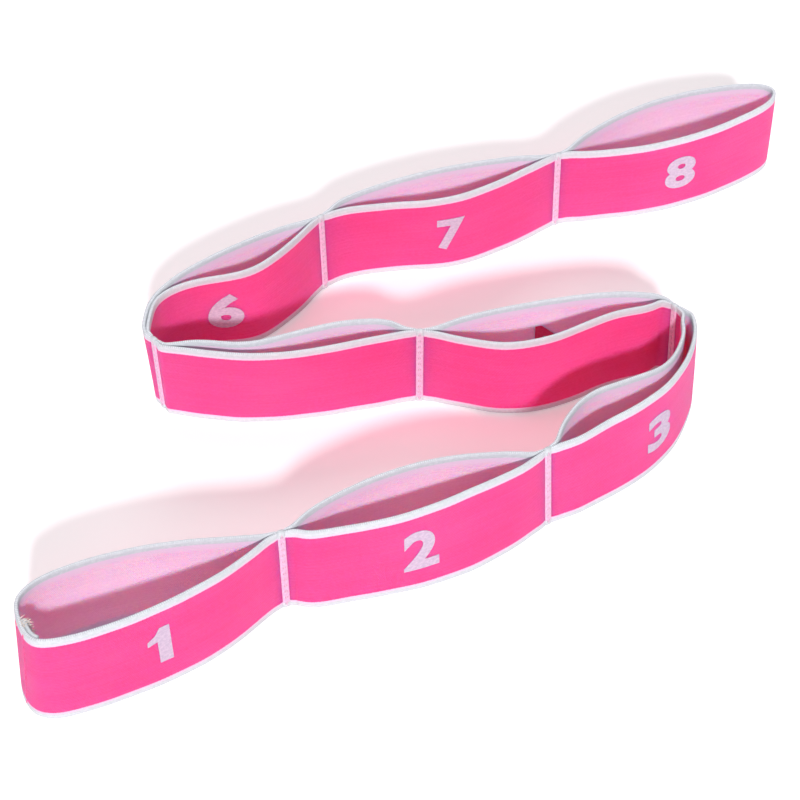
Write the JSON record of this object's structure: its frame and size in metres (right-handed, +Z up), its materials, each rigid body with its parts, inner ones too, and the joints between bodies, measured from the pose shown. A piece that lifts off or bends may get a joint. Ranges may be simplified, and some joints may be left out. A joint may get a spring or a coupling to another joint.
{
  "type": "stretching strap",
  "caption": "Looped elastic stretching strap: two layers of woven webbing sewn together at seams into a chain of hand loops, standing on edge in an S.",
  "frame": {"origin": "centre of the strap's lay, on the surface that it stands on", "axes": "+X along the two outer runs, from loop 1 towards loop 3; +Y from the run of loops 1 to 3 towards the run of loops 6 to 8; +Z up, across the webbing's width"},
  "size_m": [0.3952, 0.2173, 0.04],
  "materials": {
    "webbing": "woven elastic webbing, matt with a slight sheen, white woven edges",
    "seam_bar": "woven bar across the webbing, pale pink",
    "thread": "polyester sewing thread"
  },
  "bodies": {
    "seam_4": {"seam_4_bar": "seam_bar", "seam_4_thread": "thread", "loop_5_numbered_low_half": "webbing", "loop_5_plain_low_half": "webbing"},
    "loop_4": {"loop_4_numbered_high_half": "webbing", "loop_4_plain_high_half": "webbing"},
    "seam_3": {"seam_3_bar": "seam_bar", "seam_3_thread": "thread", "loop_4_numbered_low_half": "webbing", "loop_4_plain_low_half": "webbing"},
    "loop_3": {"loop_3_numbered_high_half": "webbing", "loop_3_plain_high_half": "webbing"},
    "seam_2": {"seam_2_bar": "seam_bar", "seam_2_thread": "thread", "loop_3_numbered_low_half": "webbing", "loop_3_plain_low_half": "webbing"},
    "loop_2": {"loop_2_numbered_high_half": "webbing", "loop_2_plain_high_half": "webbing"},
    "seam_1": {"seam_1_bar": "seam_bar", "seam_1_thread": "thread", "loop_2_numbered_low_half": "webbing", "loop_2_plain_low_half": "webbing"},
    "loop_1": {"loop_1_numbered_high_half": "webbing", "loop_1_plain_high_half": "webbing"},
    "loop_1_end": {"loop_1_numbered_low_half": "webbing", "loop_1_plain_low_half": "webbing", "loop_1_end_fold": "webbing", "loop_1_lap_tail": "webbing", "loop_1_lap_thread": "thread"},
    "seam_5": {"seam_5_bar": "seam_bar", "seam_5_thread": "thread", "loop_5_numbered_high_half": "webbing", "loop_5_plain_high_half": "webbing"},
    "loop_6": {"loop_6_numbered_low_half": "webbing", "loop_6_plain_low_half": "webbing"},
    "seam_6": {"seam_6_bar": "seam_bar", "seam_6_thread": "thread", "loop_6_numbered_high_half": "webbing", "loop_6_plain_high_half": "webbing"},
    "loop_7": {"loop_7_numbered_low_half": "webbing", "loop_7_plain_low_half": "webbing"},
    "seam_7": {"seam_7_bar": "seam_bar", "seam_7_thread": "thread", "loop_7_numbered_high_half": "webbing", "loop_7_plain_high_half": "webbing"},
    "loop_8": {"loop_8_numbered_low_half": "webbing", "loop_8_plain_low_half": "webbing"},
    "loop_8_end": {"loop_8_numbered_high_half": "webbing", "loop_8_plain_high_half": "webbing", "loop_8_end_fold": "webbing"}
  },
  "joints": [
    {"name": "seam_4_fold", "type": "hinge", "parent": "seam_4", "child": "loop_4", "pos_m": [-0.008, 0.0015, 0.02], "axis": [0, 0, -1], "range_deg": [-45, 45]},
    {"name": "loop_4_stretch", "type": "slide", "parent": "loop_4", "child": "seam_3", "axis": [0.9755, -0.22, 0], "range_m": [0, 0.045], "stiffness_N_per_m": 1800},
    {"name": "seam_3_fold", "type": "hinge", "parent": "seam_3", "child": "loop_3", "pos_m": [0.094, -0.0215, 0.02], "axis": [0, 0, 1], "range_deg": [-20, 120]},
    {"name": "loop_3_stretch", "type": "slide", "parent": "loop_3", "child": "seam_2", "axis": [-0.9235, -0.3836, 0], "range_m": [0, 0.045], "stiffness_N_per_m": 1800},
    {"name": "seam_2_fold", "type": "hinge", "parent": "seam_2", "child": "loop_2", "pos_m": [0.014, -0.079, 0.02], "axis": [0, 0, -1], "range_deg": [-120, 30]},
    {"name": "loop_2_stretch", "type": "slide", "parent": "loop_2", "child": "seam_1", "axis": [-0.9987, -0.0504, 0], "range_m": [0, 0.045], "stiffness_N_per_m": 1800},
    {"name": "seam_1_fold", "type": "hinge", "parent": "seam_1", "child": "loop_1", "pos_m": [-0.095, -0.0845, 0.02], "axis": [0, 0, 1], "range_deg": [-75, 120]},
    {"name": "loop_1_stretch", "type": "slide", "parent": "loop_1", "child": "loop_1_end", "axis": [-0.9958, -0.0918, 0], "range_m": [0, 0.045], "stiffness_N_per_m": 1800},
    {"name": "loop_5_stretch", "type": "slide", "parent": "seam_4", "child": "seam_5", "axis": [-0.9585, 0.2852, 0], "range_m": [0, 0.045], "stiffness_N_per_m": 1800},
    {"name": "seam_5_fold", "type": "hinge", "parent": "seam_5", "child": "loop_6", "pos_m": [-0.1105, 0.032, 0.02], "axis": [0, 0, 1], "range_deg": [-20, 120]},
    {"name": "loop_6_stretch", "type": "slide", "parent": "loop_6", "child": "seam_6", "axis": [0.9654, 0.2607, 0], "range_m": [0, 0.045], "stiffness_N_per_m": 1800},
    {"name": "seam_6_fold", "type": "hinge", "parent": "seam_6", "child": "loop_7", "pos_m": [-0.0235, 0.0815, 0.02], "axis": [0, 0, -1], "range_deg": [-120, 30]},
    {"name": "loop_7_stretch", "type": "slide", "parent": "loop_7", "child": "seam_7", "axis": [0.999, 0.045, 0], "range_m": [0, 0.045], "stiffness_N_per_m": 1800},
    {"name": "seam_7_fold", "type": "hinge", "parent": "seam_7", "child": "loop_8", "pos_m": [0.0875, 0.0865, 0.02], "axis": [0, 0, 1], "range_deg": [-75, 120]},
    {"name": "loop_8_stretch", "type": "slide", "parent": "loop_8", "child": "loop_8_end", "axis": [0.9969, 0.0781, 0], "range_m": [0, 0.045], "stiffness_N_per_m": 1800}
  ]
}
